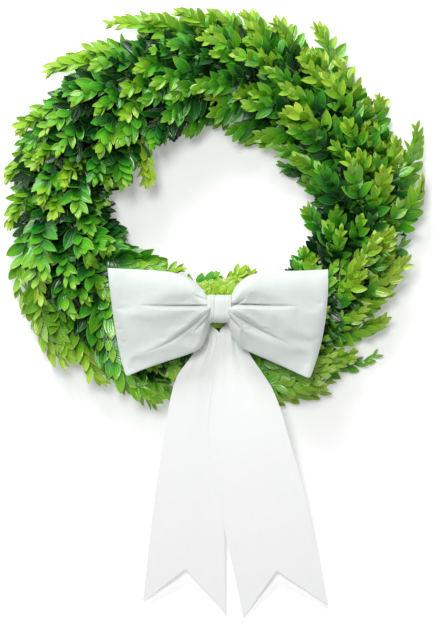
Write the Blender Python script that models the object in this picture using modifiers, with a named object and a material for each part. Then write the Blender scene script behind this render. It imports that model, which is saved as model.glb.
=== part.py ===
"""Boxwood wreath with a white bow, lying on its back. Metres, +Z up, the bow towards -Y.

Three dried canes are twisted into an oval ring. Twelve bunches of boxwood sit astride it, their stem ends
bound down with tape, and every sprig leans the same way round the ring. A wire holds the bow to the ring.
The foliage is laid out round a true circle and then stretched to the oval.
"""

import math
import random

import bmesh
import bpy
from mathutils import Matrix, Vector

# The ring of canes
RING_RADIUS = 0.144
RING_STRETCH = (1.045, 0.950)
RING_CENTRE = (0.0003, 0.1121)
CANE_RADIUS = 0.0048
CANE_OFFSET = 0.0063
CANE_COUNT = 3
CANE_TURNS = 4
CANE_POINTS = 32
CANE_HEIGHT = 0.01345

# The tape bands, whose flat undersides the wreath rests on
BAND_SIDES = 8
BAND_WIDTH = 0.005
BAND_THICKNESS = 0.0014
BAND_APOTHEM = 0.0147

# The bunches
BUNCH_COUNT = 12
BUNCH_SEEDS = (100, 341, 362, 223, 224, 245, 226, 107, 268, 249, 230, 131)
FIRST_SEAM = math.radians(253.5)
SEAM_GAP = math.radians(2.8)
LEAF_GAP = math.radians(0.30)
BOW_GAP = math.radians(2.0)
CORE_INNER = 0.0137
CORE_WIDE = 0.0235
CORE_HIGH = 0.0250
CORE_LOW = -0.0085
CORE_STEPS = 2
STEM_END_SIZE = (0.006, 0.0086, 0.0013)
STEM_END_BACK = 0.0018
STEM_END_CLEARANCE = 0.0004

# A sprig: how far it reaches off the core, and how far it runs along the ring for that reach
REACH = 0.036
LEAN = 1.12
FACE_UP = 1.1
STEM_RADIUS = 0.0013
ROOT_DEPTH = 0.005
LEAF_LENGTH = 0.0235
LEAF_WIDTH = 0.0130
LEAF_THICKNESS = 0.0014
# A sprig shorter than this has smaller leaves, so that they don't run into each other
FULL_LENGTH = 0.046

# The wreath isn't even: extra reach in mm where a sprig's tip comes out, every 15 degrees round the ring
# from +X, on the outside and in the hole
OUTER_EXTRA = (-7, 2, -18, -14, -2, 1, 3, 4, -1, 3, -6, -1, -9, -7, 14, 13, 19, 10, 8, 10, 17, 7, -6, -10)
INNER_EXTRA = (-8, 3, 6, 6, 14, 5, 4, 7, 1, 4, 8, -3, -14, -15, 0, 4, 4, 8, 10, 3, -11, -16, -16, -12)

# Rows of sprigs round the core's section: angle from outward to inward over the top, count in a bunch,
# reach against REACH, leaf size against LEAF_LENGTH, and whether a crossed leaf stands on the spray
SPRIG_ROWS = (
    (-8, 3, 0.92, 1.00, False),
    (36, 2, 1.05, 1.06, False),
    (82, 2, 1.05, 1.06, True),
    (122, 1, 1.05, 1.10, False),
    (152, 1, 0.98, 1.10, False),
    (180, 1, 0.90, 1.05, False),
)
# Where each row's first sprig is rooted, as a share of the space that one sprig has
ROW_STAGGER = (0.40, 0.62, 0.32, 0.62, 0.22, 0.70)
# How far a sprig strays from its place: round the ring, round the core, in reach, and twisted on its stem
ROOT_STRAY = math.radians(1.2)
ROW_STRAY = math.radians(7)
REACH_STRAY = 0.08
TWIST_STRAY = math.radians(18)
# A sprig that the bow would press down by more than this is left out, every second time
COVERED_DROP = 0.012
# A sprig with no crossed leaf is one whose tip the bow moves by more than this
FREE_DROP = 0.001

# The leaves in a sprig's flat spray: place along the stem, splay, size. The last is the tip leaf.
SPRAY_PAIRS = ((0.30, 54, 1.00), (0.63, 50, 0.92))
SPRAY_TIP = (0.82, 0.86)
SPLAY_STRAY = 5
NOTCH_HALF = 0.0022
SPRAY_THICKNESS = 0.0010
SPRAY_DROOP = 0.004
SPRAY_CUP = 0.22
SPRAY_CUP_STRAY = 0.08
SPRAY_FLATTENING = 9.0
# Corners of a leaf of the spray, as shares of its length: the one nearer the root, and the one nearer the tip
LEAF_BACK_CORNER = 0.40
LEAF_FRONT_CORNER = 0.55
TIP_LEAF_CORNER = 0.42
# The crossed leaf that stands on the spray
TOP_LEAF = (0.50, 50, 1.00)
TOP_LEAF_STRAY = 0.07
LEAF_BROADEST = 0.45
LEAF_ABOVE = 0.28
LEAF_BASE_BREADTH = 1.15
LEAF_TIP_BREADTH = 0.84
LEAF_CUP = 0.16
LEAF_BEND = 0.10

# The bow, whose knot is over the ring
KNOT = Vector((RING_CENTRE[0] + 0.0053, RING_CENTRE[1] - 0.1070, 0.0765))
KNOT_WIDTH = 0.0230
KNOT_HALF_TALL = 0.0142
KNOT_HALF_DEEP = 0.0132
KNOT_THICKNESS = 0.0014
KNOT_SIDES = 16
KNOT_SQUARENESS = 0.7
WAIST_HALF_DEEP = 0.0088
LOOP_PUFF = 0.0130
LOOP_EDGE = 0.0016
LOOP_END_BULGE = 0.0025
LOOP_BACK_FLATNESS = 0.70
LOOP_SECTIONS = 9
LOOP_SIDES = 12

# Edges of the loops as seen from above, from the knot to the outer end, in mm from the knot's centre
LEFT_LOOP_TOP = ((-11.8, 11.4), (-17, 19.6), (-28.9, 29.4), (-46.6, 35.4), (-78.2, 38.2), (-110.7, 40.3))
LEFT_LOOP_LOW = ((-11.8, -11.4), (-17, -35.7), (-27, -42.8), (-54.5, -51.8), (-78, -60.5), (-93, -67.2))
RIGHT_LOOP_TOP = ((11.8, 11.4), (16.5, 21.5), (27.3, 31.0), (44, 35.6), (74, 36.8), (107.2, 39.3))
RIGHT_LOOP_LOW = ((11.8, -11.4), (18.5, -34.7), (28, -40.8), (55.9, -53.0), (75, -62.0), (90, -69.2))
MM = 0.001
SHARP_ANGLE = math.radians(50)

CLOTH = 0.0009
TAIL_ROWS = 15
TAIL_SPANS = 6
TAIL_HEIGHT = 0.0585
TAIL_BREAK = -0.0790
TAIL_TIP = -0.3155
TAIL_EASE = 0.18
TAIL_LAP = 0.0030
LAP_END = 0.74
TAIL_ROOT_HEIGHT = 0.0630
ROOT_SHARE = 0.14
NOTCH_DEPTH = 0.086
GATHER_HEIGHT = 0.0007
GATHER_SPACING = 0.017
GATHER_END = 0.62

# Edges of the two tails as seen from above, from the knot to the tips, in mm from the knot's centre
LEFT_TAIL_OUTER = ((-22, -3), (-23, -17), (-25, -42), (-44, -72), (-55, -125), (-66, -196), (-77.6, -296.5))
LEFT_TAIL_INNER = ((-7, -3), (-10, -15), (1, -27), (-7, -85), (-10.5, -128), (3, -196), (6.6, -308.5))
RIGHT_TAIL_OUTER = ((23, -4), (25, -17), (29, -42), (54, -82), (70, -130), (89, -200), (109.8, -299.8))
RIGHT_TAIL_INNER = ((7, -4), (7, -15), (-1, -27), (-9, -85), (-14, -128), (-2, -186), (24.3, -313.5))

# The bow wire, from under the ring up to the back of the knot
WIRE_RADIUS = 0.0006
WIRE_OUTLINE = (
    (0.0, -0.0126), (0.009, -0.0112), (0.0138, -0.003), (0.0138, 0.010), (0.008, 0.023), (-0.003, 0.033),
    (-0.014, 0.044), (-0.024, 0.054), (-0.027, 0.066), (-0.033, 0.066), (-0.032, 0.053), (-0.026, 0.039),
    (-0.020, 0.026), (-0.0155, 0.014), (-0.0138, -0.003), (-0.009, -0.0112),
)
WIRE_TOP = 0.0624
WIRE_TOP_FROM = 0.0600

# Foliage under the bow is pressed down towards this height
PRESSED_TOP = 0.0555
PRESS_FROM = 0.0385
HIGHEST_LEAF = 0.0860
PRESS_FADE = 0.014
LIFT_BELOW = 0.014
LOWEST_LEAF = 0.0022
BOW_SHADOW = (-0.116, 0.122, -0.076, 0.046)
TAIL_SHADOW = (-0.055, 0.078, -0.400, 0.000)

to_oval = Matrix.Diagonal((*RING_STRETCH, 1, 1))
to_oval.translation = (*RING_CENTRE, 0)


def clear_scene():
    for old in list(bpy.data.objects):
        bpy.data.objects.remove(old, do_unlink=True)


def make_collection(name):
    made = bpy.data.collections.new(name)
    bpy.context.scene.collection.children.link(made)
    return made


def make_material(name, colour, roughness, metallic=0.0):
    made = bpy.data.materials.new(name)
    made.use_nodes = True
    surface = made.node_tree.nodes["Principled BSDF"]
    surface.inputs["Base Color"].default_value = (*colour, 1)
    surface.inputs["Roughness"].default_value = roughness
    surface.inputs["Metallic"].default_value = metallic
    return made


def shade_round(mesh):
    """Shades a rounded piece smooth, and keeps its hard edges sharp."""
    mesh.shade_smooth()
    mesh.set_sharp_from_angle(angle=SHARP_ANGLE)


def add_object(name, data, material, collection):
    if isinstance(data, bpy.types.Mesh):
        shade_round(data)
    made = bpy.data.objects.new(name, data)
    data.materials.append(material)
    collection.objects.link(made)
    return made


def mesh_from(bm, name):
    """A mesh from bm, which is then freed."""
    mesh = bpy.data.meshes.new(name)
    bm.to_mesh(mesh)
    bm.free()
    return mesh


def smooth_step(value):
    value = min(max(value, 0.0), 1.0)
    return value * value * (3 - 2 * value)


def ring_point(angle, outwards, height):
    """A point near the true ring: outwards from its centre line, and above the surface that it lies on."""
    radius = RING_RADIUS + outwards
    return Vector((radius * math.cos(angle), radius * math.sin(angle), height))


def section_point(angle, psi, distance):
    """A point at this distance from the canes' centre line, at psi from outward over the top to inward."""
    return ring_point(angle, distance * math.cos(psi), CANE_HEIGHT + distance * math.sin(psi))


def lean_angle(distance):
    """How far round the ring the foliage has leaned at this distance from the canes' centre line."""
    return LEAN * max(distance - CORE_WIDE, 0) / RING_RADIUS


def seam_place(point):
    """The angle round the ring at which the sprig that passes through this point is rooted."""
    outwards = math.hypot(point.x, point.y) - RING_RADIUS
    distance = math.hypot(outwards, point.z - CANE_HEIGHT)
    return math.atan2(point.y, point.x) - lean_angle(distance)


def tail_height(y):
    """Height of the tails' underside: flat over the leaves, then leaning down to the surface."""
    share = (y - TAIL_BREAK) / (TAIL_TIP - TAIL_BREAK)
    slope = (share + math.hypot(share, TAIL_EASE)) / (1 + math.hypot(1, TAIL_EASE))
    return TAIL_HEIGHT - (TAIL_HEIGHT - CLOTH) * min(slope, 1.0)


def inside_share(x, y, box):
    """1 inside the box, falling to 0 at PRESS_FADE outside it."""
    away_x = max(box[0] - x, x - box[1], 0)
    away_y = max(box[2] - y, y - box[3], 0)
    return 1 - smooth_step(math.hypot(away_x, away_y) / PRESS_FADE)


def pressed(point):
    """The point after the surface below, the bow and its tails have pressed the leaves."""
    if point.z < LIFT_BELOW:
        room = LIFT_BELOW - LOWEST_LEAF
        return Vector((point.x, point.y, LOWEST_LEAF + room * math.exp((point.z - LIFT_BELOW) / room)))
    x, y = point.x - KNOT.x, point.y - KNOT.y
    share = max(inside_share(x, y, BOW_SHADOW), inside_share(x, y, TAIL_SHADOW))
    if share == 0 or point.z < PRESS_FROM:
        return point
    ceiling = min(PRESSED_TOP, tail_height(y) - 0.003)
    low = PRESS_FROM + (ceiling - PRESS_FROM) * min((point.z - PRESS_FROM) / (HIGHEST_LEAF - PRESS_FROM), 1)
    return Vector((point.x, point.y, point.z + (low - point.z) * share))


def make_canes(collection, material):
    """Three canes twisted round each other, each a closed tube that follows a helix round the ring."""
    for strand in range(CANE_COUNT):
        spline_points = []
        for step in range(CANE_POINTS):
            angle = math.tau * step / CANE_POINTS
            psi = CANE_TURNS * angle + math.tau * strand / CANE_COUNT
            spline_points.append(to_oval @ section_point(angle, psi, CANE_OFFSET))
        curve = bpy.data.curves.new(f"cane_{strand + 1}", "CURVE")
        curve.dimensions = "3D"
        curve.bevel_depth = CANE_RADIUS
        curve.bevel_resolution = 1
        spline = curve.splines.new("POLY")
        spline.points.add(CANE_POINTS - 1)
        for place, point in zip(spline.points, spline_points):
            place.co = (*point, 1)
        spline.use_cyclic_u = True
        add_object(f"cane_{strand + 1}", curve, material, collection)


def make_band(number, angle, collection, material):
    """A turn of tape round the canes, with one flat of its outline on the surface below."""
    bm = bmesh.new()
    radius = BAND_APOTHEM / math.cos(math.pi / BAND_SIDES)
    sides = {"segments": BAND_SIDES, "radius1": radius, "radius2": radius, "depth": BAND_WIDTH}
    bmesh.ops.create_cone(bm, **sides, cap_ends=False)
    turn = Matrix.Rotation(math.pi / 2, 4, "X") @ Matrix.Rotation(math.pi / BAND_SIDES, 4, "Z")
    bmesh.ops.transform(bm, matrix=turn, verts=bm.verts)
    place = Matrix.Translation(ring_point(angle, 0, BAND_APOTHEM)) @ Matrix.Rotation(angle, 4, "Z")
    bmesh.ops.transform(bm, matrix=place, verts=bm.verts)
    bmesh.ops.recalc_face_normals(bm, faces=bm.faces)
    mesh = mesh_from(bm, f"tape_band_{number:02d}")
    mesh.transform(to_oval)
    band = add_object(mesh.name, mesh, material, collection)
    wall = band.modifiers.new("wall", "SOLIDIFY")
    wall.thickness = BAND_THICKNESS
    wall.offset = -1
    return band


def make_core(name, start, end, collection, material):
    """The bound stems of one bunch: a saddle over the canes, swept along the ring."""
    outer = [math.radians(a) for a in (-20, 30, 70, 110, 150, 200)]
    inner = [math.radians(a) for a in (194, 138, 90, 42, -14)]
    profile = [(CORE_WIDE * math.cos(a), max(CORE_HIGH * math.sin(a), CORE_LOW)) for a in outer]
    profile += [(CORE_INNER * math.cos(a), CORE_INNER * math.sin(a)) for a in inner]
    bm = bmesh.new()
    verts = [bm.verts.new(ring_point(start, x, CANE_HEIGHT + z)) for x, z in profile]
    face = bm.faces.new(verts)
    bmesh.ops.spin(
        bm,
        geom=[face, *face.edges, *face.verts],
        cent=(0, 0, 0),
        axis=(0, 0, 1),
        angle=end - start,
        steps=CORE_STEPS,
        use_duplicate=False,
    )
    bmesh.ops.triangulate(bm, faces=[f for f in bm.faces if len(f.verts) > 4])
    bmesh.ops.recalc_face_normals(bm, faces=bm.faces)
    mesh = mesh_from(bm, name)
    mesh.transform(to_oval)
    return add_object(name, mesh, material, collection)


def make_stem_end(start, collection, material):
    """The stem ends of a bunch, which run back over the canes and under the tape."""
    bm = bmesh.new()
    bmesh.ops.create_cube(bm, size=1)
    width, length, thickness = STEM_END_SIZE
    bmesh.ops.scale(bm, vec=(width, length, thickness), verts=bm.verts)
    height = CANE_HEIGHT + CANE_OFFSET + CANE_RADIUS + STEM_END_CLEARANCE + thickness / 2
    middle = start - STEM_END_BACK / RING_RADIUS
    place = Matrix.Translation(ring_point(middle, 0, height)) @ Matrix.Rotation(middle, 4, "Z")
    bmesh.ops.transform(bm, matrix=place, verts=bm.verts)
    mesh = mesh_from(bm, "stem_end")
    mesh.transform(to_oval)
    return add_object("stem_end", mesh, material, collection)


def leaf_corners(base, turn, hand, leaf_size):
    """The three free corners of a leaf in the flat spray: back, tip and front."""
    long, wide = LEAF_LENGTH * leaf_size, LEAF_WIDTH * leaf_size
    ahead = Vector((math.cos(turn), math.sin(turn) * hand))
    beside = Vector((math.sin(turn), -math.cos(turn) * hand)) * (wide / 2)
    back = base + ahead * (LEAF_BACK_CORNER * long) - beside
    front = base + ahead * (LEAF_FRONT_CORNER * long) + beside
    return [back, base + ahead * long, front]


def spray_outline(length, leaf_size, spray_random):
    """The flat spray: places along and across the stem, and the triangles between them, from root to tip."""
    stations = [0.0]
    for share, _, _ in SPRAY_PAIRS:
        stations += [share * length - NOTCH_HALF, share * length + NOTCH_HALF]
    places = [Vector((station, STEM_RADIUS * hand)) for station in stations for hand in (-1, 1)]
    faces = []
    for near in range(0, len(places) - 2, 2):
        faces += [(near, near + 1, near + 3), (near, near + 3, near + 2)]
    for pair, (share, splay, size) in enumerate(SPRAY_PAIRS):
        for corner, hand in enumerate((-1, 1)):
            turn = math.radians(splay + spray_random.uniform(-SPLAY_STRAY, SPLAY_STRAY))
            low = 2 + 4 * pair + corner
            back = len(places)
            places += leaf_corners(Vector((share * length, STEM_RADIUS * hand)), turn, hand, size * leaf_size)
            fan = ((low, back, back + 2), (back, back + 1, back + 2), (low, back + 2, low + 2))
            faces += fan if hand < 0 else [triangle[::-1] for triangle in fan]
    share, size = SPRAY_TIP
    long, wide = LEAF_LENGTH * size * leaf_size, LEAF_WIDTH * size * leaf_size
    start, near, first = share * length, 2 * len(stations) - 2, len(places)
    broadest = start + TIP_LEAF_CORNER * long
    places += [Vector((broadest, -wide / 2)), Vector((broadest, wide / 2)), Vector((start + long, 0.0))]
    faces += [(near, near + 1, first + 1), (near, first + 1, first), (first, first + 1, first + 2)]
    return places, faces


def spray_bmesh(root, along, side, up, length, leaf_size, spray_random):
    """The spray's middle surface, cupped along the stem and bent back at the leaf tips."""
    places, faces = spray_outline(length, leaf_size, spray_random)
    bm = bmesh.new()
    cup = SPRAY_CUP + spray_random.uniform(-SPRAY_CUP_STRAY, SPRAY_CUP_STRAY)
    for s, w in places:
        rise = cup * abs(w) - SPRAY_FLATTENING * w * w - SPRAY_DROOP * (s / length) ** 3
        bm.verts.new(root + along * s + side * w + up * rise)
    bm.verts.ensure_lookup_table()
    for face in faces:
        bm.faces.new([bm.verts[i] for i in face])
    return bm


def leaf_bmesh(base, along, up, length, width):
    """A pointed oval leaf: a six-sided double pyramid, cupped along its middle and bent back at the tip."""
    bm = bmesh.new()
    pointed = Matrix.Rotation(math.pi / 6, 4, "Z")
    bmesh.ops.create_uvsphere(bm, u_segments=6, v_segments=2, radius=1, matrix=pointed)
    side = up.cross(along).normalized()
    rise = along.cross(side).normalized()
    for vert in bm.verts:
        x, y, z = vert.co
        if abs(z) > 0.5:
            place = (LEAF_BROADEST, 0.0, LEAF_THICKNESS * (LEAF_ABOVE if z > 0 else LEAF_ABOVE - 1))
        else:
            share = (x + 1) / 2
            breadth = LEAF_BASE_BREADTH if share < 0.5 else LEAF_TIP_BREADTH
            rim = LEAF_CUP * width * abs(y) - LEAF_BEND * length * share**3
            place = (share, y * breadth / 2, rim)
        vert.co = base + along * (place[0] * length) + side * (place[1] * width) + rise * place[2]
    bmesh.ops.recalc_face_normals(bm, faces=bm.faces)
    return bm


def sprig_bmeshes(angle, psi, reach, leaf_size, crossed, sprig_random):
    """The spray of one sprig and the crossed leaf on it, round the true ring."""
    root = section_point(angle, psi, CORE_WIDE - ROOT_DEPTH)
    tip_angle = angle + lean_angle(CORE_WIDE + reach)
    tip = section_point(tip_angle, psi, CORE_WIDE + reach)
    along = (tip - root).normalized()
    outward = section_point(tip_angle, psi, 1) - section_point(tip_angle, psi, 0)
    side = along.cross(outward + Vector((0, 0, FACE_UP))).normalized()
    turn = Matrix.Rotation(sprig_random.uniform(-TWIST_STRAY, TWIST_STRAY), 3, along)
    side = turn @ side
    up = side.cross(along).normalized()
    length = (tip - root).length
    leaf_size *= min(length / FULL_LENGTH, 1)
    made = [spray_bmesh(root, along, side, up, length, leaf_size, sprig_random)]
    if crossed:
        share, splay, size = TOP_LEAF
        splay = math.radians(splay + sprig_random.uniform(-SPLAY_STRAY, SPLAY_STRAY))
        leaf_along = along * math.cos(splay) + up * math.sin(splay)
        leaf_up = up * math.cos(splay) - along * math.sin(splay)
        size *= leaf_size * (1 + sprig_random.uniform(-TOP_LEAF_STRAY, TOP_LEAF_STRAY))
        base = root.lerp(tip, share) - up * (SPRAY_DROOP * share**3 + 0.0001)
        made.append(leaf_bmesh(base, leaf_along, leaf_up, LEAF_LENGTH * size, LEAF_WIDTH * size))
    return made


def bent_clear(bmeshes, low, high):
    """Turns a sprig round the ring until it lies between the seams low and high."""
    places = [seam_place(v.co) for bm in bmeshes for v in bm.verts]
    middle = (low + high) / 2
    places = [middle + math.remainder(place - middle, math.tau) for place in places]
    shift = max(low - min(places), 0) + min(high - max(places), 0)
    turn = Matrix.Rotation(shift, 4, "Z")
    for bm in bmeshes:
        bmesh.ops.transform(bm, matrix=turn, verts=bm.verts)


def thicken(bm):
    """Turns a spray's middle surface into a plate, with the same triangles on both faces."""
    bmesh.ops.recalc_face_normals(bm, faces=bm.faces)
    bm.normal_update()
    corners = [edge.link_loops[0] for edge in bm.edges if edge.is_boundary]
    rim = [(corner.vert, corner.link_loop_next.vert) for corner in corners]
    front = list(bm.faces)
    shift = {vert: vert.normal * (SPRAY_THICKNESS / 2) for vert in bm.verts}
    under = {vert: bm.verts.new(vert.co - shift[vert]) for vert in list(bm.verts)}
    for vert in under:
        vert.co += shift[vert]
    for face in front:
        bm.faces.new([under[vert] for vert in reversed(face.verts)])
    for one, two in rim:
        bm.faces.new((two, one, under[one], under[two]))


def laid_on_oval(bm):
    """Stretches a sprig's part to the oval, presses it under the bow, and gives a spray its thickness."""
    bmesh.ops.transform(bm, matrix=to_oval, verts=bm.verts)
    for vert in bm.verts:
        vert.co = pressed(vert.co)
    if any(edge.is_boundary for edge in bm.edges):
        thicken(bm)


def extra_reach(angle, psi):
    """Extra reach of a sprig whose tip comes out at this angle round the ring."""
    outward = math.cos(psi)
    extras = OUTER_EXTRA if outward > 0 else INNER_EXTRA
    place = angle / math.tau % 1 * len(extras)
    index = int(place)
    share = smooth_step(place - index)
    extra = extras[index] * (1 - share) + extras[(index + 1) % len(extras)] * share
    return extra * MM * abs(outward)


def bow_drop(angle, psi, reach):
    """How far the bow pushes down the tip of this sprig."""
    tip_angle = angle + lean_angle(CORE_WIDE + reach)
    tip = to_oval @ section_point(tip_angle, psi, CORE_WIDE + reach)
    return (pressed(tip) - tip).length


def bunch_sprigs(number, start, end):
    """Every spray and crossed leaf of one bunch as bmeshes round the true ring."""
    bunch_random = random.Random(BUNCH_SEEDS[number])
    low = start + (BOW_GAP if number == 0 else LEAF_GAP)
    high = end - (BOW_GAP if number == BUNCH_COUNT - 1 else LEAF_GAP)
    made = []
    for (psi, count, reach_share, leaf_size, crossed), stagger in zip(SPRIG_ROWS, ROW_STAGGER):
        for place in range(count):
            angle = start + (end - start) * (place + stagger) / count
            angle += bunch_random.uniform(-ROOT_STRAY, ROOT_STRAY)
            turned = math.radians(psi) + bunch_random.uniform(-ROW_STRAY, ROW_STRAY)
            reach = REACH * reach_share * (1 + bunch_random.uniform(-REACH_STRAY, REACH_STRAY))
            reach += extra_reach(angle + lean_angle(CORE_WIDE + reach), turned)
            drop = bow_drop(angle, turned, reach)
            if drop > COVERED_DROP and place % 2:
                continue
            stands = crossed and place == 0 and drop < FREE_DROP
            sprig = sprig_bmeshes(angle, turned, reach, leaf_size, stands, bunch_random)
            bent_clear(sprig, low, high)
            made += sprig
    return made


def keep_largest_body(obj):
    """Drops loose scraps, and fills any hollow that the union sealed."""
    bm = bmesh.new()
    bm.from_mesh(obj.data)
    bm.verts.ensure_lookup_table()
    left = set(bm.verts)
    bodies = []
    while left:
        body, edge_of_body = set(), [left.pop()]
        while edge_of_body:
            vert = edge_of_body.pop()
            body.add(vert)
            for edge in vert.link_edges:
                other = edge.other_vert(vert)
                if other in left:
                    left.discard(other)
                    edge_of_body.append(other)
        bodies.append(body)
    bodies.sort(key=len)
    loose = [vert for body in bodies[:-1] for vert in body]
    if loose:
        bmesh.ops.delete(bm, geom=loose, context="VERTS")
    bm.to_mesh(obj.data)
    bm.free()


def make_bunch(number, collection, material):
    """One bunch as a single body: its bound stems with every sprig fused in."""
    start = FIRST_SEAM + math.tau * number / BUNCH_COUNT
    end = start + math.tau / BUNCH_COUNT
    name = f"bunch_{number + 1:02d}"
    core = make_core(name, start + SEAM_GAP / 2, end - SEAM_GAP / 2, collection, material)
    repeats = make_collection(f"{name}_repeats")
    make_stem_end(start + SEAM_GAP / 2, repeats, material)
    for bm in bunch_sprigs(number, start, end):
        laid_on_oval(bm)
        add_object("repeat", mesh_from(bm, "repeat"), material, repeats)
    fuse = core.modifiers.new("fuse", "BOOLEAN")
    fuse.operation = "UNION"
    fuse.operand_type = "COLLECTION"
    fuse.collection = repeats
    fuse.solver = "EXACT"
    bpy.context.view_layer.update()
    bpy.context.view_layer.objects.active = core
    bpy.ops.object.modifier_apply(modifier=fuse.name)
    for old in list(repeats.objects):
        bpy.data.objects.remove(old, do_unlink=True)
    bpy.data.collections.remove(repeats)
    keep_largest_body(core)
    shade_round(core.data)
    return core


def along_edge(points, share):
    """The point at this share of a smooth curve through the edge's points, in metres from the knot."""
    place = min(max(share, 0.0), 1.0) * (len(points) - 1)
    index = min(int(place), len(points) - 2)
    t = place - index
    a, b, c, d = [Vector(points[min(max(index + k, 0), len(points) - 1)]) for k in (-1, 0, 1, 2)]
    bend = 2 * b + (c - a) * t + (2 * a - 5 * b + 4 * c - d) * t**2 + (3 * b - a - 3 * c + d) * t**3
    return bend * 0.5 * MM


def loop_point(top, low, share, turn):
    """A point on a loop: a cushion between its two edges, pulled in at the knot, with a thin outer end."""
    v, w = math.sin(turn), math.cos(turn)
    flat = along_edge(low, share).lerp(along_edge(top, share), (v + 1) / 2)
    bulge = math.copysign(LOOP_END_BULGE * (1 - v * v) * share**4, flat.x)
    depth = WAIST_HALF_DEEP * (1 - share) + LOOP_EDGE * share
    depth += LOOP_PUFF * math.sin(math.pi * share**0.8) ** 0.8
    flatness = 1.0 if w > 0 else LOOP_BACK_FLATNESS
    return KNOT + Vector((flat.x + bulge, flat.y, depth * w * flatness))


def make_loops(collection, material):
    """Both loops and the waist between them as one stuffed tube."""
    bm = bmesh.new()
    shares = [i / (LOOP_SECTIONS - 1) for i in range(LOOP_SECTIONS)]
    turns = [math.tau * i / LOOP_SIDES for i in range(LOOP_SIDES)]
    rings = []
    for share in reversed(shares):
        rings.append([bm.verts.new(loop_point(LEFT_LOOP_TOP, LEFT_LOOP_LOW, share, t)) for t in turns])
    for share in shares:
        rings.append([bm.verts.new(loop_point(RIGHT_LOOP_TOP, RIGHT_LOOP_LOW, share, t)) for t in turns])
    for near, far in zip(rings, rings[1:]):
        for i in range(LOOP_SIDES):
            j = (i + 1) % LOOP_SIDES
            bm.faces.new((near[i], near[j], far[j], far[i]))
    bm.faces.new(rings[0])
    bm.faces.new(rings[-1])
    bmesh.ops.recalc_face_normals(bm, faces=bm.faces)
    return add_object("bow_loops", mesh_from(bm, "bow_loops"), material, collection)


def make_knot(collection, material):
    """The band round the waist, open at both ends."""
    bm = bmesh.new()
    bmesh.ops.create_cone(bm, segments=KNOT_SIDES, radius1=1, radius2=1, depth=KNOT_WIDTH, cap_ends=False)
    bmesh.ops.transform(bm, matrix=Matrix.Rotation(math.pi / 2, 4, "Y"), verts=bm.verts)
    for vert in bm.verts:
        y, z = vert.co.y, vert.co.z
        vert.co.y = math.copysign(abs(y) ** KNOT_SQUARENESS, y) * KNOT_HALF_TALL
        vert.co.z = math.copysign(abs(z) ** KNOT_SQUARENESS, z) * KNOT_HALF_DEEP
        vert.co += KNOT
    bmesh.ops.recalc_face_normals(bm, faces=bm.faces)
    knot = add_object("bow_knot", mesh_from(bm, "bow_knot"), material, collection)
    wall = knot.modifiers.new("wall", "SOLIDIFY")
    wall.thickness = KNOT_THICKNESS
    wall.offset = -1
    return knot


def tail_point(outer, inner, lap, share, across):
    """A point on a tail: between its edges, with gathers near the knot, and over or under its twin."""
    end = 1 - NOTCH_DEPTH * (1 - abs(2 * across - 1))
    point = along_edge(outer, share * end).lerp(along_edge(inner, share * end), across)
    root = 1 - smooth_step(share / ROOT_SHARE)
    fade = (1 - smooth_step(share / GATHER_END)) * (1 - root)
    gather = GATHER_HEIGHT * math.cos(point.x / GATHER_SPACING * math.tau) * fade
    lift = lap * (1 - smooth_step((share - LAP_END) / (1 - LAP_END)))
    height = tail_height(point.y) + lift + gather
    height += (TAIL_ROOT_HEIGHT - height) * root
    return Vector((KNOT.x + point.x, KNOT.y + point.y, max(height, CLOTH * 1.4)))


def make_tail(name, outer, inner, lap, collection, material):
    """One tail of the bow, cut to a swallowtail at its end."""
    bm = bmesh.new()
    bmesh.ops.create_grid(bm, x_segments=TAIL_SPANS, y_segments=TAIL_ROWS, size=0.5)
    for vert in bm.verts:
        vert.co = tail_point(outer, inner, lap, vert.co.y + 0.5, vert.co.x + 0.5)
    bmesh.ops.triangulate(bm, faces=bm.faces)
    bmesh.ops.recalc_face_normals(bm, faces=bm.faces)
    bm.normal_update()
    if sum(face.normal.z for face in bm.faces) < 0:
        bmesh.ops.reverse_faces(bm, faces=bm.faces)
    tail = add_object(name, mesh_from(bm, name), material, collection)
    wall = tail.modifiers.new("cloth", "SOLIDIFY")
    wall.thickness = CLOTH
    wall.offset = -1
    return tail


def make_bow_wire(collection, material):
    """A closed loop of wire round the canes, leaning up between two bunches to the back of the knot."""
    curve = bpy.data.curves.new("bow_wire", "CURVE")
    curve.dimensions = "3D"
    curve.bevel_depth = WIRE_RADIUS
    curve.bevel_resolution = 1
    spline = curve.splines.new("POLY")
    spline.points.add(len(WIRE_OUTLINE) - 1)
    for place, (x, z) in zip(spline.points, WIRE_OUTLINE):
        angle = FIRST_SEAM + lean_angle(math.hypot(x, z))
        at = to_oval @ ring_point(angle, x, CANE_HEIGHT + z)
        at = pressed(at) if z > 0 else at
        height = WIRE_TOP if z > WIRE_TOP_FROM else at.z
        place.co = (at.x, at.y, height, 1)
    spline.use_cyclic_u = True
    return add_object("bow_wire", curve, material, collection)


def main():
    clear_scene()
    wreath = make_collection("boxwood_wreath")
    leaf = make_material("boxwood_leaf", (0.10, 0.36, 0.03), 0.38)
    cane = make_material("dried_cane", (0.16, 0.09, 0.05), 0.85)
    tape = make_material("stem_tape", (0.05, 0.16, 0.04), 0.60)
    cloth = make_material("white_cloth", (0.86, 0.89, 0.87), 0.55)
    wire = make_material("covered_wire", (0.75, 0.76, 0.72), 0.50)
    make_canes(wreath, cane)
    for number in range(1, BUNCH_COUNT):
        make_band(number, FIRST_SEAM + math.tau * number / BUNCH_COUNT, wreath, tape)
    for number in range(BUNCH_COUNT):
        make_bunch(number, wreath, leaf)
    make_loops(wreath, cloth)
    make_knot(wreath, cloth)
    make_tail("bow_tail_left", LEFT_TAIL_OUTER, LEFT_TAIL_INNER, TAIL_LAP, wreath, cloth)
    make_tail("bow_tail_right", RIGHT_TAIL_OUTER, RIGHT_TAIL_INNER, 0.0, wreath, cloth)
    make_bow_wire(wreath, wire)


main()
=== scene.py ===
import math
from functools import partial

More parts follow.
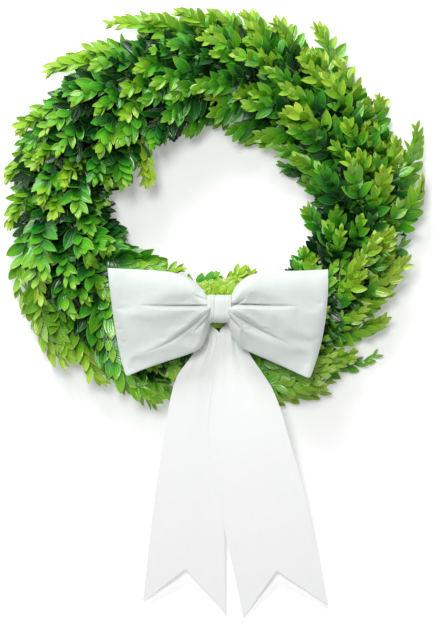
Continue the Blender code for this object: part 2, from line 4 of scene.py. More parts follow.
import bpy
import numpy as np
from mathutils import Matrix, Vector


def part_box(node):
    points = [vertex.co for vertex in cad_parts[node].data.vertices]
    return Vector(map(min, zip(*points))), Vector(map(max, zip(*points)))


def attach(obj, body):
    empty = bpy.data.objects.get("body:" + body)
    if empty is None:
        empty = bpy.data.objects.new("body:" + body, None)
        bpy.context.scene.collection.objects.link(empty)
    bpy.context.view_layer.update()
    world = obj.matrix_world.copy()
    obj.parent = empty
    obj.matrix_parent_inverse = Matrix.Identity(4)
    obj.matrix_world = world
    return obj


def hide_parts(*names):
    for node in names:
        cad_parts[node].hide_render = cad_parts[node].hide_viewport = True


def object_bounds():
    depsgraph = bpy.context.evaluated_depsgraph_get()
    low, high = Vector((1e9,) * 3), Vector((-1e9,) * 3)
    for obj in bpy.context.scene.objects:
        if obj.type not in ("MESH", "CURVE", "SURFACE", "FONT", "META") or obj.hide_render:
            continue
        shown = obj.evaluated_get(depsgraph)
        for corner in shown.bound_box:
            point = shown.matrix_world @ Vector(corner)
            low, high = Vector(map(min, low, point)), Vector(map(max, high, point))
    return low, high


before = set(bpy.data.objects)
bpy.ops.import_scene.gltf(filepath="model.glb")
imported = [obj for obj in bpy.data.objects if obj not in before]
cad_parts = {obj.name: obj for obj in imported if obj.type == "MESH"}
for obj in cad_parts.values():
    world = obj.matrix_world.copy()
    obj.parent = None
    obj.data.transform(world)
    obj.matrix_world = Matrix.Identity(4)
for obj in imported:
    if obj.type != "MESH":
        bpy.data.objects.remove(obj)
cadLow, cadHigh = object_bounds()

# A boxwood wreath of moulded leaves with a white bow, lying on its back and seen from straight above.
# Everything is in metres, and shapes are worked out as whole arrays.
mm = 0.001
scene = bpy.context.scene


# Small helpers

def toLinear(hexColour):
    # an sRGB hex value as linear red, green, blue and alpha
    parts = np.array([int(hexColour[i:i + 2], 16) for i in (1, 3, 5)]) / 255
    curved = ((parts + 0.055) / 1.055) ** 2.4
    return (*np.where(parts <= 0.04045, parts / 12.92, curved).tolist(), 1.0)


def smoothStep(value, start=0.0, wide=1.0):
    # from 0 at the start to 1 a width further, level at both ends
    value = np.clip((value - start) / wide, 0, 1)
    return value * value * (3 - 2 * value)


def unit(vectors):
    return vectors / np.maximum(np.linalg.norm(vectors, axis=-1, keepdims=True), 1e-9)


def alongCurve(points, share):
    # a smooth curve through the points: at each share of its length, the cubic that also fits the slopes there
    points = np.asarray(points, float)
    place = np.clip(share, 0, 1) * (len(points) - 1)
    index = np.minimum(place.astype(int), len(points) - 2)
    t = (place - index).reshape(place.shape + (1,) * (points.ndim - 1))
    a, b, c, d = (points[np.clip(index + k, 0, len(points) - 1)] for k in (-1, 0, 1, 2))
    bend = 2 * b + (c - a) * t + (2 * a - 5 * b + 4 * c - d) * t**2 + (3 * b - a - 3 * c + d) * t**3
    return bend * 0.5


def gridFaces(rows, columns, closed=False):
    # the quads of a grid, numbered row by row; closed joins its last column to its first
    r = np.arange(rows - 1)[:, None] * columns
    c = np.arange(columns if closed else columns - 1)[None, :]
    nextC = (c + 1) % columns
    corners = (r + c, r + nextC, r + columns + nextC, r + columns + c)
    return np.stack(np.broadcast_arrays(*corners), axis=-1).reshape(-1, 4)


def tubeFaces(rows, around):
    # the quads between the rings of a tube, and a cap at each end
    first = np.arange(around)
    return gridFaces(rows, around, closed=True), np.stack([first[::-1], (rows - 1) * around + first])


def addMesh(name, material, points, faces, uv=None, marks=None, sharp=None):
    # puts arrays into a mesh: faces is a list of arrays, each with its own number of corners
    mesh = bpy.data.meshes.new(name)
    points = np.ascontiguousarray(points.reshape(-1, 3), np.float32)
    loops = np.concatenate([f.reshape(-1) for f in faces]).astype(np.int32)
    sizes = np.concatenate([np.full(len(f), f.shape[1]) for f in faces])
    starts = (np.cumsum(sizes) - sizes).astype(np.int32)
    mesh.vertices.add(len(points))
    mesh.vertices.foreach_set("co", points.ravel())
    mesh.loops.add(len(loops))
    mesh.loops.foreach_set("vertex_index", loops)
    mesh.polygons.add(len(sizes))
    mesh.polygons.foreach_set("loop_start", starts)
    mesh.polygons.foreach_set("use_smooth", np.ones(len(sizes), bool))
    mesh.update(calc_edges=True)
    if uv is not None:
        layer = mesh.uv_layers.new(name="flat")
        layer.data.foreach_set("uv", uv.reshape(-1, 2)[loops].astype(np.float32).ravel())
    for label, values in (marks or {}).items():
        kept = mesh.attributes.new(label, "FLOAT", "POINT")
        kept.data.foreach_set("value", np.ascontiguousarray(values.ravel(), np.float32))
    if sharp is not None:  # an edge between two marked points is a crease
        ends = np.zeros(len(mesh.edges) * 2, np.int32)
        mesh.edges.foreach_get("vertices", ends)
        creased = sharp.ravel()[ends.reshape(-1, 2)].all(axis=1)
        mesh.edges.foreach_set("use_edge_sharp", creased)
    piece = bpy.data.objects.new(name, mesh)
    scene.collection.objects.link(piece)
    mesh.materials.append(material)
    return piece


def settle(piece, node):
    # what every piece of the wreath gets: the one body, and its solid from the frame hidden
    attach(piece, "root")
    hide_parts(node)


# Materials

def setInputs(node, inputs):
    # by name or number, or in order: each is a value or the socket of another node
    for name, value in inputs.items() if isinstance(inputs, dict) else enumerate(inputs):
        if isinstance(value, bpy.types.NodeSocket):
            node.id_data.links.new(value, node.inputs[name])
        else:
            node.inputs[name].default_value = value


def addNode(tree, kind, inputs=(), stops=(), **settings):
    # one node with its inputs, the colour stops of a ramp and its settings, which gives back its outputs
    made = tree.nodes.new("ShaderNode" + kind)
    for name, value in settings.items():
        setattr(made, name, value)
    if stops:
        ramp = made.color_ramp.elements
        while len(ramp) < len(stops):
            ramp.new(0.5)
        for stop, (place, colour) in zip(ramp, stops):
            stop.position = place
            stop.color = toLinear(colour)
    setInputs(made, inputs)
    return made.outputs


def startMaterial(name):
    # a new material, its surface, and addNode for its own tree
    made = bpy.data.materials.new(name)
    made.use_nodes = True
    return made, made.node_tree.nodes["Principled BSDF"], partial(addNode, made.node_tree)


# four numbers are a range: from and to of what goes in, then what comes out at each end
leafLook = {
    "ageStops": (
        (0.00, "#9EC62C"), (0.18, "#86BC1E"), (0.40, "#68B01A"), (0.58, "#40A01C"),
        (0.78, "#115F19"), (1.00, "#04340F"),
    ),
    "tipLift": (0.0, 1.0, 0.24, -0.08),  # a leaf is darker at its base and lighter at its tip
    "cloud": 11.11 * mm,
    "clouds": (0.0, 1.0, -0.10, 0.10),
    "yellow": "#BECC3A",
    "yellowTint": (0.70, 1.0, 0.0, 0.36),
    "yellowAge": (0.30, 0.62, 1.0, 0.0),
    # the painted highlight's colour on the rim and the midrib
    "rim": "#D6F07E",
    "paintedRimHighlightPlace": (0.80, 0.98, 0.0, 0.40),
    "paintedMidribHighlightPlace": (0.03, 0.14, 0.14, 0.0),
    "rimAge": (0.30, 0.85, 1.0, 0.22),
    "underside": "#8DBB4A",
    "underShare": 0.15,
    "ribs": 4.5,  # moulded ribs across a blade
    "ribLean": -0.25,
    "ribDepth": 0.08 * mm,
    "gloss": (0.3, 0.7, 0.19, 0.33),
    "ior": 1.58,
}


def makeLeafPlastic():
    # polyethylene leaves: a waxy gloss, lime where they are young and dark where they are old, with a painted
    # highlight on the rim and the midrib, mostly on the younger leaves
    made, surface, add = startMaterial("moulded_polyethylene_leaf")
    look = leafLook
    age, tint, under = (add("Attribute", attribute_name=label)["Fac"] for label in ("age", "tint", "under"))
    flat = add("UVMap", uv_map="flat")["UV"]
    parts = add("SeparateXYZ", (flat,))
    along, side = parts["X"], parts["Y"]
    # from 0 to 1 across the blade to the distance from the midrib: 0 there, 1 at the rim
    for operation, value in (("SUBTRACT", 0.5), ("ABSOLUTE", 0.0), ("MULTIPLY", 2.0)):
        side = add("Math", (side, value), operation=operation)[0]
    place = add("TexCoord")["Object"]
    cloudy = add("TexNoise", {"Vector": place, "Scale": 1 / look["cloud"], "Detail": 3.0})["Fac"]
    lift, patch, gloss = (
        add("MapRange", (value, *look[name]))[0]
        for value, name in ((along, "tipLift"), (cloudy, "clouds"), (cloudy, "gloss")))
    shown = add("Math", (age, lift), operation="ADD")[0]
    shown = add("Math", (shown, patch), operation="ADD", use_clamp=True)[0]
    colour = add("ValToRGB", (shown,), look["ageStops"])["Color"]
    yellow, young, fade = (
        add("MapRange", (value, *look[name]))[0]
        for value, name in ((tint, "yellowTint"), (shown, "yellowAge"), (shown, "rimAge")))
    # painted highlight: the rim and the midrib are painted paler, standing in for rim light
    rim, midrib = (
        add("MapRange", (side, *look[name]), interpolation_type="SMOOTHSTEP")[0]
        for name in ("paintedRimHighlightPlace", "paintedMidribHighlightPlace"))
    yellow = add("Math", (yellow, young), operation="MULTIPLY")[0]
    paintedHighlight = add("Math", (rim, midrib), operation="MAXIMUM")[0]
    paintedHighlight = add("Math", (paintedHighlight, fade), operation="MULTIPLY")[0]
    dull = add("Math", (under, look["underShare"]), operation="MULTIPLY")[0]
    for share, tone in ((yellow, "yellow"), (paintedHighlight, "rim"), (dull, "underside")):
        colour = add("Mix", {0: share, 6: colour, 7: toLinear(look[tone])}, data_type="RGBA")[2]
    # moulded ribs run lengthwise, and each one catches the light as a streak
    ribs = add("Math", (along, look["ribLean"], side), operation="MULTIPLY_ADD")[0]
    for operation, value in (("MULTIPLY", look["ribs"] / 2 * math.tau), ("SINE", 0.0)):
        ribs = add("Math", (ribs, value), operation=operation)[0]
    relief = add("Bump", {"Strength": 1.0, "Distance": look["ribDepth"], "Height": ribs})["Normal"]
    setInputs(surface, {"Base Color": colour, "Roughness": gloss, "Normal": relief, "IOR": look["ior"]})
    return made


mattLooks = {
    # moulded stems: dull, dark with age, in faint patches
    "moulded_stem": {
        "grain": 3.846 * mm, "detail": 4.0, "fibrous": 0.5, "patches": (0.0, 1.0, -0.18, 0.18),
        "stops": ((0.0, "#6A9A2C"), (0.5, "#22401A"), (1.0, "#0A160B")),
        "relief": 0.7, "depth": 0.2 * mm, "roughness": 0.62,
    },
    # dried cane: matt bark, split lengthwise into fibres, in blotches
    "dried_cane_bark": {
        "grain": 0.9 * mm, "detail": 5.0, "fibrous": 0.7, "blotch": 22.22 * mm,
        "stops": ((0.12, "#2C2018"), (0.38, "#5A4330")), "relief": 0.9, "depth": 0.3 * mm, "roughness": 0.82,
    },
    # waxed crepe paper: dull green, in fine wrinkles
    "waxed_crepe_tape": {
        "grain": 0.7 * mm, "detail": 3.0, "fibrous": 0.5,
        "stops": ((0.35, "#1C3B18"), (0.6, "#2E5A26")), "relief": 0.8, "depth": 0.15 * mm, "roughness": 0.72,
    },
    # florist's wire wound with smooth paper: off-white and matt
    "paper_covered_wire": {
        "grain": 1.111 * mm, "detail": 2.0, "fibrous": 0.5,
        "stops": ((0.3, "#BFC2B6"), (0.7, "#E4E6DC")), "relief": 0.0, "depth": 0.1 * mm, "roughness": 0.7,
    },
}


def makeMatt(name):
    # what the matt materials share: a grain that picks the colour and gives the relief
    made, surface, add = startMaterial(name)
    look = mattLooks[name]
    place = add("TexCoord")["Object"]
    grain = {"Vector": place, "Scale": 1 / look["grain"], "Detail": look["detail"], "Roughness": look["fibrous"]}
    grain = shown = add("TexNoise", grain)["Fac"]
    if "patches" in look:
        age = add("Attribute", attribute_name="age")["Fac"]
        patch = add("MapRange", (grain, *look["patches"]))[0]
        shown = add("Math", (age, patch), operation="ADD", use_clamp=True)[0]
    if "blotch" in look:
        blotches = add("TexNoise", {"Vector": place, "Scale": 1 / look["blotch"], "Detail": 2.0})["Fac"]
        shown = add("Math", (grain, blotches), operation="MULTIPLY")[0]
    colour = add("ValToRGB", (shown,), look["stops"])["Color"]
    relief = add("Bump", {"Strength": look["relief"], "Distance": look["depth"], "Height": grain})["Normal"]
    setInputs(surface, {"Base Color": colour, "Normal": relief, "Roughness": look["roughness"]})
    return made


clothLook = {
    # gaps and threads of one white ribbon in three copies: the loops' copy is painted grey and the knot's a little
    # less, painted shade; the tails' copy keeps the ribbon's own white
    "painted_shade_doubled": ((0.1, "#B7BFBB"), (0.55, "#C8CFCB")),
    "banded": ((0.1, "#C1C9C5"), (0.55, "#D2D9D5")),
    "single": ((0.1, "#F6F9F7"), (0.55, "#FEFFFE")),
    # the paler white that the painted light mixes in
    "thin": "#F4FDF8",
    "threadGap": 0.45 * mm,  # the real threads lie about 0.25 mm apart, drawn wider so that they show
    "threadDepth": 0.05 * mm,
    "relief": 0.5,
    "slub": 4.545 * mm,
    "heights": (-1.0, 2.0, 0.0, 1.0),  # of the weave and the slubs together
    "roughness": 0.58,
    "sheen": 0.45,
    "sheenRoughness": 0.5,
}


def makeRibbonCloth(kind):
    # woven polyester ribbon with a dull satin face: white with a cool cast, fine cross threads, a faint sheen, and
    # painted shade in the loops' and the knot's greyer copies
    made, surface, add = startMaterial(f"{kind}_polyester_ribbon")
    look = clothLook
    flat = add("UVMap", uv_map="flat")["UV"]
    parts = add("SeparateXYZ", (flat,))
    waves = []
    for wave in (parts["X"], parts["Y"]):
        for operation, value in (("MULTIPLY", math.tau / look["threadGap"]), ("SINE", 0.0)):
            wave = add("Math", (wave, value), operation=operation)[0]
        waves.append(wave)
    weave = add("Math", waves, operation="MULTIPLY")[0]
    slubs = add("TexNoise", {"Vector": flat, "Scale": 1 / look["slub"], "Detail": 2.0})["Fac"]
    height = add("Math", (weave, slubs), operation="ADD")[0]
    shown = add("MapRange", (height, *look["heights"]))[0]
    colour = add("ValToRGB", (shown,), look[kind])["Color"]
    # painted light: where the mark is set, the colour is mixed towards a paler white, which lightens the loops along
    # their edges and below the creases
    thin = add("Attribute", attribute_name="thin")["Fac"]
    colour = add("Mix", {0: thin, 6: colour, 7: toLinear(look["thin"])}, data_type="RGBA")[2]
    relief = add("Bump", {"Strength": look["relief"], "Distance": look["threadDepth"], "Height": height})["Normal"]
    setInputs(surface, {
        "Base Color": colour, "Normal": relief, "Roughness": look["roughness"], "Sheen Weight": look["sheen"],
        "Sheen Roughness": look["sheenRoughness"]})
    return made


leafPlastic = makeLeafPlastic()
stemPlastic, caneBark, stemTape, wirePaper = (makeMatt(name) for name in mattLooks)
# the loops' and the knot's copies carry painted shade
paintedShadeDoubledCloth, paintedShadeBandedCloth, singleCloth = (makeRibbonCloth(kind) for kind in ("painted_shade_doubled", "banded", "single"))
print("materials made")


# Where things are, from the frame

def boxOf(names):
    corners = np.array([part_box(name) for name in names])
    return corners[:, 0].min(axis=0), corners[:, 1].max(axis=0)


canesLow, canesHigh = boxOf(["cane_1", "cane_2", "cane_3"])
knotLow, knotHigh = boxOf(["bow_knot"])
knotCentre = (knotLow + knotHigh) / 2

ring = {
    "radius": 0.144,  # of the circle that the foliage is laid out round, before it is stretched to the oval
    "canesOut": 0.0111,  # how far the canes stand out from that circle
    "height": (canesLow[2] + canesHigh[2]) / 2,
    "coreWide": 0.0235,
    "coreHigh": 0.0250,
    "coreLow": -0.0085,
    "bunches": 12,
    "firstSeam": math.radians(253.5),
    "seamGap": math.radians(2.8),
}
ringCentre = (canesLow + canesHigh)[:2] / 2
ringStretch = (canesHigh - canesLow)[:2] / 2 / (ring["radius"] + ring["canesOut"])


def ringPoint(angle, outward, height):
    # a point near the oval ring: the true circle made wider by outward, then stretched
    angle, outward, height = np.broadcast_arrays(angle, outward, height)
    flat = (ring["radius"] + outward)[..., None] * np.stack([np.cos(angle), np.sin(angle)], axis=-1)
    return np.concatenate([flat * ringStretch + ringCentre, height[..., None]], axis=-1)


def sectionPoint(angle, psi, distance):
    # a point at this distance from the ring's line, psi from outward (0) over the top to inward (180 degrees)
    return ringPoint(angle, distance * np.cos(psi), ring["height"] + distance * np.sin(psi))


# The bow's places, because the leaves below it are pressed down

bow = {
    "tailLow": 0.9 * mm,
    "tailHigh": 58.5 * mm,
    "tailBreak": -79 * mm,  # where the tails start to lean down, from the knot
    "tailTip": -315.5 * mm,
    "tailEase": 0.18,
    "pressedTop": 55.5 * mm,
    "pressFrom": 38.5 * mm,
    "highestLeaf": 86 * mm,
    "underTail": 3 * mm,
    "pressFade": 14 * mm,
    "loopsCover": (-116 * mm, 122 * mm, -76 * mm, 46 * mm),  # low x, high x, low y, high y from the knot
    "tailsCover": (-55 * mm, 78 * mm, -400 * mm, 0.0),
    "liftBelow": 14 * mm,
    "lowestLeaf": 1.2 * mm,
    "softSide": 3 * mm,
    "sideGap": 0.2 * mm,
}


def tailHeight(y):
    # flat over the leaves, then a straight lean down to the surface, with a soft bend between them
    share = (y - bow["tailBreak"]) / (bow["tailTip"] - bow["tailBreak"])
    ease = bow["tailEase"]
    slope = (share + np.hypot(share, ease)) / (1 + np.hypot(1, ease))
    return bow["tailHigh"] - (bow["tailHigh"] - bow["tailLow"]) * np.minimum(slope, 1)


def coverShare(x, y, cover):
    # 1 under the cover, falling to 0 outside it
    awayX = np.maximum(np.maximum(cover[0] - x, x - cover[1]), 0)
    awayY = np.maximum(np.maximum(cover[2] - y, y - cover[3]), 0)
    return 1 - smoothStep(np.hypot(awayX, awayY), 0, bow["pressFade"])


def pressed(points):
    # heights after the surface below has pushed the leaves up and the bow has pressed them down
    x, y, z = np.moveaxis(points - [*knotCentre[:2], 0], -1, 0)
    room = bow["liftBelow"] - bow["lowestLeaf"]
    lifted = bow["lowestLeaf"] + room * np.exp(np.minimum(z - bow["liftBelow"], 0) / room)
    share = np.maximum(coverShare(x, y, bow["loopsCover"]), coverShare(x, y, bow["tailsCover"]))
    ceiling = np.minimum(bow["pressedTop"], tailHeight(y) - bow["underTail"])
    rise = np.clip((z - bow["pressFrom"]) / (bow["highestLeaf"] - bow["pressFrom"]), 0, 1)
    low = bow["pressFrom"] + (ceiling - bow["pressFrom"]) * rise
    z = np.where(z > bow["pressFrom"], z + (np.minimum(low, z) - z) * share, z)
    z = np.where(z < bow["liftBelow"], lifted, z)
    points = np.concatenate([points[..., :2], z[..., None]], axis=-1)
    # the frame's box holds every leaf: what would pass a side is drawn in softly
    soft, room = bow["softSide"], bow["softSide"] - bow["sideGap"]
    for low, high, axis in ((cadLow[0], cadHigh[0], 0), (cadLow[1], cadHigh[1], 1), (-1, cadHigh[2], 2)):
        for end, side in ((high, 1), (low, -1)):
            over = np.maximum(side * (points[..., axis] - end) + soft, 0)
            points[..., axis] += side * (room * (1 - np.exp(-over / soft)) - over)
    return points


# Foliage

sprigs = {
    "seed": 700,
    "reach": 36 * mm,  # how far a sprig's stem stands off the core
    "lean": 1.35,  # how far it runs round the ring for that reach
    "bend": (1.2, 1.12),  # powers that take it outward first and round the ring later
    # extra reach in mm where a tip comes out, every 15 degrees from +X, outside and in the hole
    "outerReach": (
        -30, -9, -25, -48, -12, -23, -20, -18, -23, -4, -5, -7, -16, -44, 32, -23, 28, -9, 7, 24, 33, -32, -5, -12,
    ),
    "innerReach": (8, 20, 6, 14, 28, -12, 6, 13, -4, 13, 12, 1, -30, -18, 34, 20, -12, 4, 30, 10, -34, -20, -9, -4),
    # painted light and shade, as age added every 30 degrees in the hole and outside: darker at the top left,
    # lime on the right, which evens out how the lamps light each side
    "innerAge": (0.12, 0.06, -0.06, -0.04, 0.30, 0.20, 0.12, 0.16, 0.05, -0.22, -0.10, 0.0),
    "outerAge": (-0.48, -0.36, -0.34, 0.03, 0.20, 0.30, 0.0, 0.06, 0.10, -0.05, 0.04, -0.26),
    "rootDepth": 5 * mm,
    "faceUp": 1.1,
    "shortest": 9 * mm,
    "nodes": 8,
    "longFrom": 47 * mm,  # longer sprigs carry more leaves
    "moreNodes": 4,
    # how each sprig varies: place and turn in degrees, reach, age and size
    "rootVaries": (-3, 3),
    "turnVaries": (-12, 12),
    "reachVaries": (0.74, 0.56, 2.5),  # least, how much more, and a power, so that only a few stand out
    "ageVaries": (-0.16, 0.20),
    "sizeVaries": (0.90, 1.10),
    "sideRate": 1.5,  # how soon a sprig that leans from the top takes the painted light and shade by side
    "stagger": 0.37,
    "leafLong": 25 * mm,
    "leafWide": 11.6 * mm,
    # leaf size every 30 degrees: large and open on the left, small and close on the right
    "leafSize": (0.86, 0.90, 0.96, 0.98, 0.98, 1.00, 1.01, 1.00, 0.98, 0.94, 0.90, 0.86),
    "leafThick": 0.5 * mm,
    # rows: degrees from outward over the top to inward, sprigs in a bunch, reach, leaf size, age added
    "rows": (
        (-14, 2, 0.86, 0.95, 0.12), (2, 3, 1.00, 0.95, -0.02), (22, 3, 1.05, 1.00, -0.04), (44, 2, 1.06, 1.02, 0.0),
        (66, 2, 1.06, 1.02, 0.02), (88, 2, 1.06, 1.02, 0.02), (110, 2, 1.06, 1.04, 0.06), (132, 2, 1.04, 1.06, 0.12),
        (154, 2, 1.00, 1.06, 0.20), (178, 1, 0.90, 1.04, 0.26),
    ),
    "underRows": ((10, 3), (40, 3), (70, 3), (100, 3), (130, 3), (160, 2)),
    "under": (0.56, 1.22, 0.60, 4),  # reach, leaf size, age added and leaf pairs of those below
    # loose sprigs: angle of the tip and of the row in degrees, reach in mm, lean, size and age; the first hangs
    # into the hole in shade, and its low age paints it lime, painted light
    "loose": (
        (159, 158, 58, 1.80, 0.92, -0.36), (117, 10, 46, 1.12, 0.95, -0.12), (99, 16, 38, 0.90, 0.95, -0.14),
        (81, 14, 33, 0.85, 0.95, -0.14), (61, 12, 42, 0.90, 0.90, -0.10), (21, 14, 44, 1.12, 0.95, -0.05),
        (6, 20, 40, 1.12, 0.95, -0.05), (322, 10, 38, 1.12, 1.10, -0.12), (308, 14, 42, 1.12, 1.10, -0.12),
        (229, 12, 46, 1.12, 1.08, -0.08), (239, 16, 50, 1.12, 1.05, -0.12), (254, 4, 52, 1.12, 0.95, 0.00),
        (186, 24, 34, 1.12, 0.95, -0.10), (263, 140, 46, 1.12, 0.75, -0.40), (274, 132, 50, 1.12, 0.80, -0.45),
        (282, 142, 50, 1.12, 0.80, -0.45), (295, 160, 40, 1.12, 0.70, -0.20), (244, 165, 44, 1.12, 0.70, -0.15),
        (108, 14, 38, 0.90, 0.90, -0.10), (90, 12, 33, 0.85, 0.95, -0.14), (72, 16, 32, 0.85, 0.95, -0.14),
        (138, 10, 44, 1.12, 0.95, -0.10), (127, 12, 34, 1.00, 0.95, -0.08), (157, 12, 36, 1.00, 0.95, -0.12),
        (172, 14, 34, 1.00, 0.95, -0.10), (34, 12, 26, 0.90, 0.90, -0.10),
    ),
    "looseNodes": 12,
}


blade = {
    "stations": (0.10, 0.27, 0.48, 0.70, 0.89),
    "columns": (-1.0, -0.5, 0.0, 0.5, 1.0, 0.5, 0.0, -0.5),  # over the upper skin and back under the lower one
    "widest": 0.46,
    "outline": (0.75, 0.95),  # powers that round its base and its tip
    "trough": 1.5,
    "midrib": 0.35 * mm,
    "midribWide": 0.25,
}


def leafPattern():
    # a closed leaf of unit length: a ring of points at each station and one point at each end
    u, v = np.meshgrid(blade["stations"], blade["columns"], indexing="ij")
    count = u.shape[1]
    lower = np.broadcast_to(np.arange(count) > count // 2, u.shape)
    rings = np.stack([u, v, lower], axis=-1).reshape(-1, 3)
    points = np.concatenate([rings, [[0.0, 0.0, 0.0], [1.0, 0.0, 0.0]]])
    here, after = np.arange(count), (np.arange(count) + 1) % count
    last = len(rings) - count
    near = np.stack([np.full(count, len(rings)), here, after], axis=-1)
    far = np.stack([np.full(count, len(rings) + 1), last + after, last + here], axis=-1)
    return points, gridFaces(*u.shape, closed=True)[:, [0, 3, 2, 1]], np.concatenate([near, far])


leafPoints, leafQuads, leafTriangles = leafPattern()


def layLeaves(base, ahead, face, long, wide, cup, bend, age, tint):
    # every leaf at once, u along the blade and v across it by its oval outline: it rises by a trough along the
    # midrib (cup) and a bend at the tip, less its thickness on the lower skin
    u, v, lower = leafPoints[:, 0], leafPoints[:, 1], leafPoints[:, 2]
    near, widest = u < blade["widest"], blade["widest"]
    outline = 1 - ((u - widest) / np.where(near, widest, 1 - widest)) ** 2
    outline = np.clip(outline, 0, 1) ** np.where(near, *blade["outline"])
    across = unit(np.cross(face, ahead))
    face = unit(np.cross(ahead, across))
    half = wide[:, None] / 2 * outline
    midrib = blade["midrib"] * np.exp(-((v / blade["midribWide"]) ** 2)) * outline
    rise = cup[:, None] * half * np.abs(v) ** blade["trough"] - midrib + bend[:, None] * long[:, None] * u**2
    rise = rise - lower * sprigs["leafThick"] * (1 - v**2)
    points = base[:, None] + ahead[:, None] * (long[:, None] * u)[..., None]
    points = points + across[:, None] * (half * v)[..., None] + face[:, None] * rise[..., None]
    count = len(base)
    offset = (np.arange(count) * len(leafPoints))[:, None, None]
    faces = [(leafQuads[None] + offset).reshape(-1, 4), (leafTriangles[None] + offset).reshape(-1, 3)]
    uv = np.broadcast_to(np.stack([u, v / 2 + 0.5], axis=-1), (count, len(u), 2))
    rim = np.broadcast_to((np.abs(v) == 1) | (u == 0) | (u == 1), (count, len(u)))
    marks = {"age": age[:, None], "tint": tint[:, None], "under": lower}
    marks = {label: np.broadcast_to(value, (count, len(u))) for label, value in marks.items()}
    return pressed(points), faces, uv, marks, rim


def sprigLine(root, psi, reach, lean, share):
    # the line of each sprig's stem: first more off the core, then more round the ring
    share = np.clip(share, 0, 1)
    outward, onward = sprigs["bend"]
    grow = 1 - (1 - share) ** outward
    distance = ring["coreWide"] - sprigs["rootDepth"] + (reach + sprigs["rootDepth"]) * grow
    angle = root + lean * reach / ring["radius"] * share**onward
    return sectionPoint(angle, psi, distance), angle


def sprigAhead(column, share, step=0.02):
    return unit(sprigLine(*column, share + step)[0] - sprigLine(*column, share - step)[0])


def roundRing(values, angle):
    # a smooth value at this angle, from values spaced evenly round the ring
    place = angle / math.tau * len(values)
    index = np.floor(place).astype(int)
    blend = smoothStep(place - index)
    return np.take(values, index, mode="wrap") * (1 - blend) + np.take(values, index + 1, mode="wrap") * blend


def bySide(kind, angle, outward):
    # the wreath isn't even in reach, and its tone by side is painted light and shade: the value here of the outer
    # side or of the hole, by how far it leans that way
    outer, inner = (roundRing(sprigs[side + kind], angle) for side in ("outer", "inner"))
    return np.where(outward > 0, outer * outward, -inner * outward)


pairs = {
    "first": 0.16,  # place of the first pair along the stem
    "crowding": 0.92,
    # turns round the stem: of the whole sprig and of a pair in degrees, and of one leaf in radians
    "sprigRoll": (-20, 20),
    "pairRoll": (-14, 14),
    "leafRoll": (-0.12, 0.12),
    "splay": (50, 25, 12),  # degrees from the stem at its root, how much less at its tip, and how it varies
    "along": 0.34,  # how much a blade at the side of the stem faces along it
    "flutter": 0.36,
    "growth": (0.92, 1.10),  # leaf size on the shortest and on the longest sprigs
    "taper": (1.04, 0.56),
    "longVaries": (0.86, 1.12),
    "wideVaries": (0.90, 1.12),
    "cup": (0.34, 0.9, 0.10),
    "bend": (-0.16, 0.02),
    "age": (0.74, 0.68, 0.08),  # at the root, how much less at the tip, and how it varies
    "tint": (0, 0.75),
    "sprigTint": (0, 0.30),
}


def sprigLeaves(draw, root, psi, reach, lean, size, age, nodes):
    # the leaves of all the sprigs in a row: crossed pairs, smaller and closer to the stem towards the tip
    count = len(root)

    def vary(low, high):
        return draw.uniform(low, high, (count, nodes))

    share = np.linspace(pairs["first"], 1.0, nodes)[None, :] ** pairs["crowding"]
    column = [part[:, None] for part in (root, psi, reach, lean)]
    at, angle = sprigLine(*column, share)
    ahead = sprigAhead(column, share)
    outward = unit(sectionPoint(angle, column[1], 10 * mm) - sectionPoint(angle, column[1], 0.0))
    side = unit(np.cross(ahead, outward + [0, 0, sprigs["faceUp"]]))
    up = np.cross(side, ahead)
    roll = draw.uniform(*pairs["sprigRoll"], count)[:, None] + np.arange(nodes) % 2 * 90
    roll = np.radians(roll + vary(*pairs["pairRoll"]))
    leaves = []
    for hand in (1, -1):
        turn = roll + vary(*pairs["leafRoll"])
        away = hand * (np.cos(turn)[..., None] * side + np.sin(turn)[..., None] * up)
        most, less, spread = pairs["splay"]
        splay = np.radians(most - less * share + vary(-spread, spread))[..., None]
        along = np.cos(splay) * ahead + np.sin(splay) * away
        lateral = np.abs(np.sum(away * side, axis=-1, keepdims=True))
        width = (1 - pairs["along"]) * np.cross(up, along) + pairs["along"] * lateral * np.cross(ahead, away)
        face = np.cross(along, unit(width))
        face = face + pairs["flutter"] * draw.normal(size=face.shape) * lateral
        grown = size * np.clip(np.sqrt(reach / sprigs["reach"]), *pairs["growth"])
        most, less = pairs["taper"]
        long = sprigs["leafLong"] * grown[:, None] * (most - less * share**2) * vary(*pairs["longVaries"])
        wide = long * (sprigs["leafWide"] / sprigs["leafLong"]) * vary(*pairs["wideVaries"])
        deep, level, spread = pairs["cup"]
        cup = deep * (2 * lateral[..., 0] - level) + vary(-spread, spread)
        bend = vary(*pairs["bend"])
        most, less, spread = pairs["age"]
        older = most - less * share + age[:, None] + vary(-spread, spread)
        tint = np.clip(vary(*pairs["tint"]) + draw.uniform(*pairs["sprigTint"], count)[:, None], 0, 1)
        leaves.append([x.reshape(-1, *x.shape[2:]) for x in (at, along, face, long, wide, cup, bend, older, tint)])
    return [np.concatenate(pair) for pair in zip(*leaves)]


stems = {"nodes": 7, "sides": 5, "radius": 1.15, "taper": 0.7, "age": (0.75, 0.6)}  # radius and taper in mm


